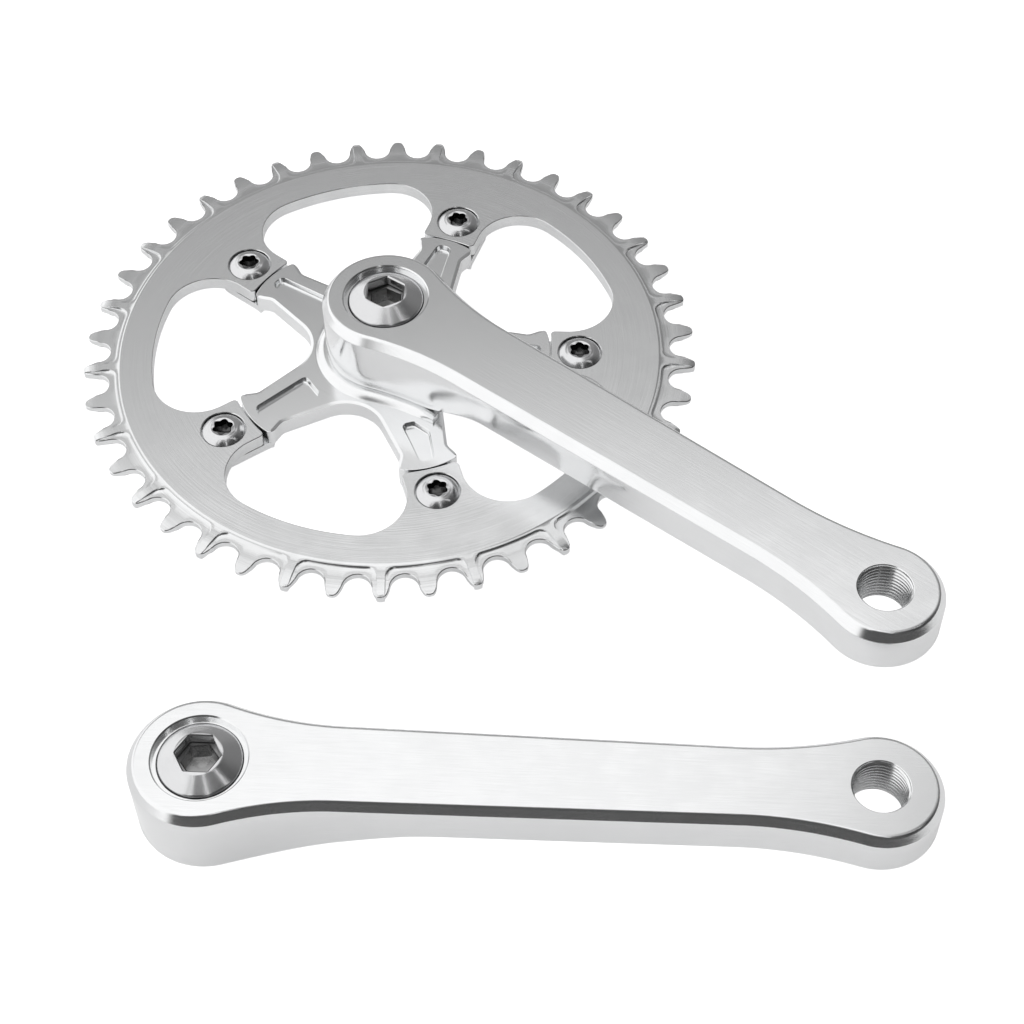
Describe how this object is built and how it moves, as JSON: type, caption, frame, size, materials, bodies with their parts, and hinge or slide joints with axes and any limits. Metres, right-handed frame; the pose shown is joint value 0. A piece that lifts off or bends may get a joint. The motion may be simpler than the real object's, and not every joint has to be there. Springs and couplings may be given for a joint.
{
  "type": "bicycle crankset",
  "caption": "Bicycle crankset in polished aluminium: a drive-side arm with a five-arm spider and a bolted narrow-wide chainring, and a left arm, both for a square taper spindle.",
  "frame": {"origin": "centre of the footprint, on the plane that the backs of both bosses rest on", "axes": "+Z is the outward direction of the crank axis, +X runs along the left arm from its boss to its pedal eye, and +Y points from the left arm towards the chainring"},
  "size_m": [0.239, 0.254, 0.0331],
  "materials": {
    "polished_aluminium": "polished",
    "brushed_aluminium": "brushed and silver anodised",
    "chromed_steel": "turned and chromed",
    "plated_steel": "zinc plated"
  },
  "bodies": {
    "drive_side": {"drive_crank_arm": "polished_aluminium", "spider": "polished_aluminium", "chainring": "brushed_aluminium", "chainring_bolt_1": "chromed_steel", "chainring_bolt_2": "chromed_steel", "chainring_bolt_3": "chromed_steel", "chainring_bolt_4": "chromed_steel", "chainring_bolt_5": "chromed_steel", "chainring_nut_1": "chromed_steel", "chainring_nut_2": "chromed_steel", "chainring_nut_3": "chromed_steel", "chainring_nut_4": "chromed_steel", "chainring_nut_5": "chromed_steel", "drive_extractor_cap": "chromed_steel", "drive_bolt_washer": "plated_steel"},
    "drive_bolt": {"drive_fixing_bolt": "plated_steel"},
    "left_side": {"left_crank_arm": "polished_aluminium", "left_extractor_cap": "chromed_steel", "left_bolt_washer": "plated_steel"},
    "left_bolt": {"left_fixing_bolt": "plated_steel"}
  },
  "joints": [
    {"name": "drive_bolt_turn", "type": "hinge", "parent": "drive_side", "child": "drive_bolt", "pos_m": [-0.0311, 0.0386, 0.02], "axis": [0, 0, 1], "continuous": true},
    {"name": "left_arm_lift", "type": "slide", "parent": "drive_side", "child": "left_side", "axis": [0, 0, 1], "range_m": [0, 0.15]},
    {"name": "left_bolt_turn", "type": "hinge", "parent": "left_side", "child": "left_bolt", "pos_m": [-0.0637, -0.109, 0.012], "axis": [0, 0, 1], "continuous": true}
  ]
}
